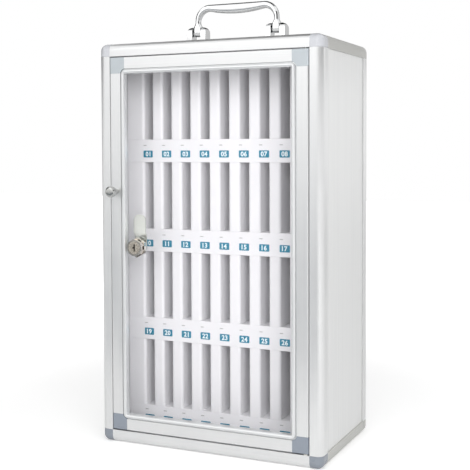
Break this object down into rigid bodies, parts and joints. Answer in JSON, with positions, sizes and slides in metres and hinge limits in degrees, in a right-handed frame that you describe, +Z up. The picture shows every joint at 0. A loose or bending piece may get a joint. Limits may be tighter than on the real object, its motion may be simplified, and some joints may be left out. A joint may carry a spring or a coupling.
{
  "type": "phone locker box",
  "caption": "Aluminium-framed locker box with a clear hinged door, a cam lock, a numbered slot rack for phones and a folding carrying handle.",
  "frame": {"origin": "on the resting plane, midway across the whole object from side to side and from the door knob to the back", "axes": "+Z up, +Y from the door to the back, +X to the right as seen from the front"},
  "size_m": [0.336, 0.226, 0.632],
  "materials": {
    "frame": "satin",
    "corners": "satin",
    "panels": "satin",
    "rack": "satin",
    "labels": "gloss",
    "pane": "polished",
    "bead": "satin",
    "knob": "satin",
    "washer": "satin",
    "nickel": "satin",
    "steel": "brushed",
    "chrome": "polished"
  },
  "bodies": {
    "cabinet": {"post_front_left": "frame", "post_front_right": "frame", "post_rear_left": "frame", "post_rear_right": "frame", "rail_front_top": "frame", "rail_front_bottom": "frame", "rail_rear_top": "frame", "rail_rear_bottom": "frame", "rail_left_top": "frame", "rail_left_bottom": "frame", "rail_right_top": "frame", "rail_right_bottom": "frame", "corner_front_top_left": "corners", "corner_front_top_right": "corners", "corner_front_bottom_left": "corners", "corner_front_bottom_right": "corners", "corner_rear_top_left": "corners", "corner_rear_top_right": "corners", "corner_rear_bottom_left": "corners", "corner_rear_bottom_right": "corners", "side_panel_left": "panels", "side_panel_right": "panels", "top_panel": "panels", "bottom_panel": "panels", "back_panel": "panels", "rack_shelf_1": "rack", "rack_shelf_2": "rack", "rack_shelf_3": "rack", "rack_shelf_4": "rack", "rack_bars_1": "rack", "rack_bars_2": "rack", "rack_bars_3": "rack", "rack_bars_4": "rack", "rack_head": "rack", "number_labels": "labels", "pivot_pins": "steel", "pivot_washer": "washer", "handle_brackets": "chrome", "handle_pins": "steel", "handle_bolts": "steel"},
    "door": {"door_stile_left": "frame", "door_stile_right": "frame", "door_rail_top": "frame", "door_rail_bottom": "frame", "door_corner_top_left": "corners", "door_corner_top_right": "corners", "door_corner_bottom_left": "corners", "door_corner_bottom_right": "corners", "door_pane": "pane", "door_knob": "knob", "pane_bead": "bead", "knob_screw": "steel", "lock_body": "nickel", "lock_nut": "steel"},
    "lock": {"lock_plug": "nickel", "lock_cam": "steel", "cam_screw": "steel"},
    "bail": {"handle_bail": "chrome"}
  },
  "joints": [
    {"name": "door_hinge", "type": "hinge", "parent": "cabinet", "child": "door", "pos_m": [0.1438, -0.0875, 0.285], "axis": [0, 0, 1], "range_deg": [0, 115]},
    {"name": "lock_turn", "type": "hinge", "parent": "door", "child": "lock", "pos_m": [-0.1104, -0.075, 0.282], "axis": [0, -1, 0], "range_deg": [0, 90]},
    {"name": "handle_fold", "type": "hinge", "parent": "cabinet", "child": "bail", "pos_m": [0, 0.016, 0.592], "axis": [1, 0, 0], "range_deg": [-115, 115]}
  ]
}
